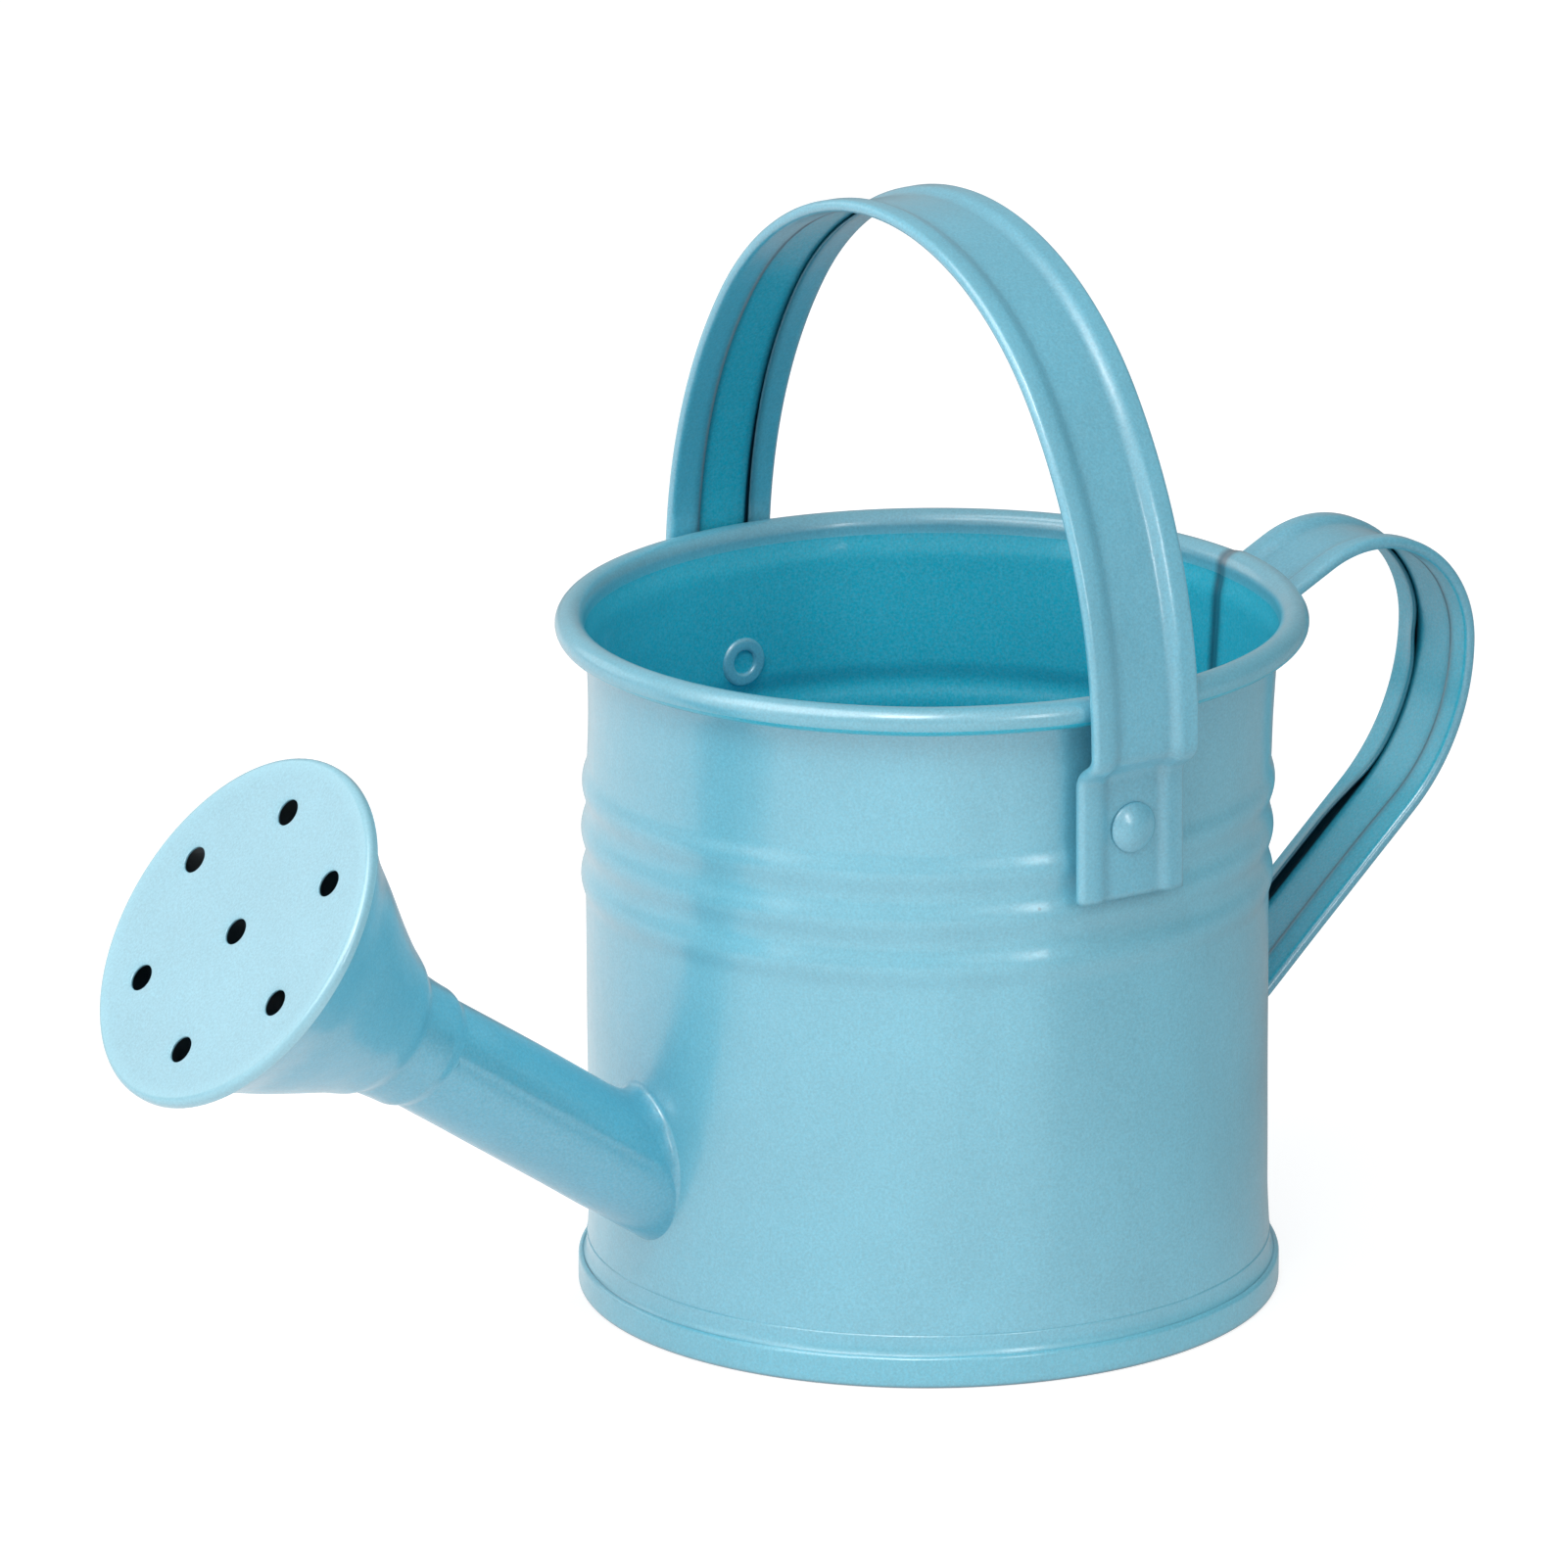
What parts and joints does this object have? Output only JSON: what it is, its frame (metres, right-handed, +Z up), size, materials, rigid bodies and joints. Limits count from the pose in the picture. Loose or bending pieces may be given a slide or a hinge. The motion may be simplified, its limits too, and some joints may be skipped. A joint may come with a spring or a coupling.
{
  "type": "watering can",
  "caption": "Small round sheet-metal watering can with ring beads, a rose spout, a swinging strap bail and a fixed rear handle.",
  "frame": {"origin": "on the ground, on the axis of the round body", "axes": "+Z up, +X towards the spout and rose, -X towards the rear handle, the bail turns about Y"},
  "size_m": [0.2246, 0.1134, 0.1624],
  "materials": {
    "can_paint": "satin sky-blue paint over tin sheet",
    "spout_paint": "satin sky-blue paint over tin sheet",
    "rose_paint": "satin sky-blue paint over tin sheet",
    "handle_paint": "satin sky-blue paint over tin strap",
    "bail_paint": "satin sky-blue paint over tin strap",
    "rivet_paint": "satin sky-blue paint over a tubular rivet",
    "seam_compound": "matte sealing compound"
  },
  "bodies": {
    "can": {"body_wall": "can_paint", "base_plate": "can_paint", "seam_seal": "seam_compound", "spout_tube": "spout_paint", "spout_solder": "spout_paint", "rose_shell": "rose_paint", "rose_face": "rose_paint", "rose_solder": "rose_paint", "rear_handle": "handle_paint", "handle_welds": "handle_paint", "bail_rivet_left": "rivet_paint", "bail_rivet_right": "rivet_paint"},
    "bail": {"bail_strap": "bail_paint"}
  },
  "joints": [
    {"name": "bail_swing", "type": "hinge", "parent": "can", "child": "bail", "pos_m": [0, 0, 0.0817], "axis": [0, 1, 0], "range_deg": [-66, 100]}
  ]
}
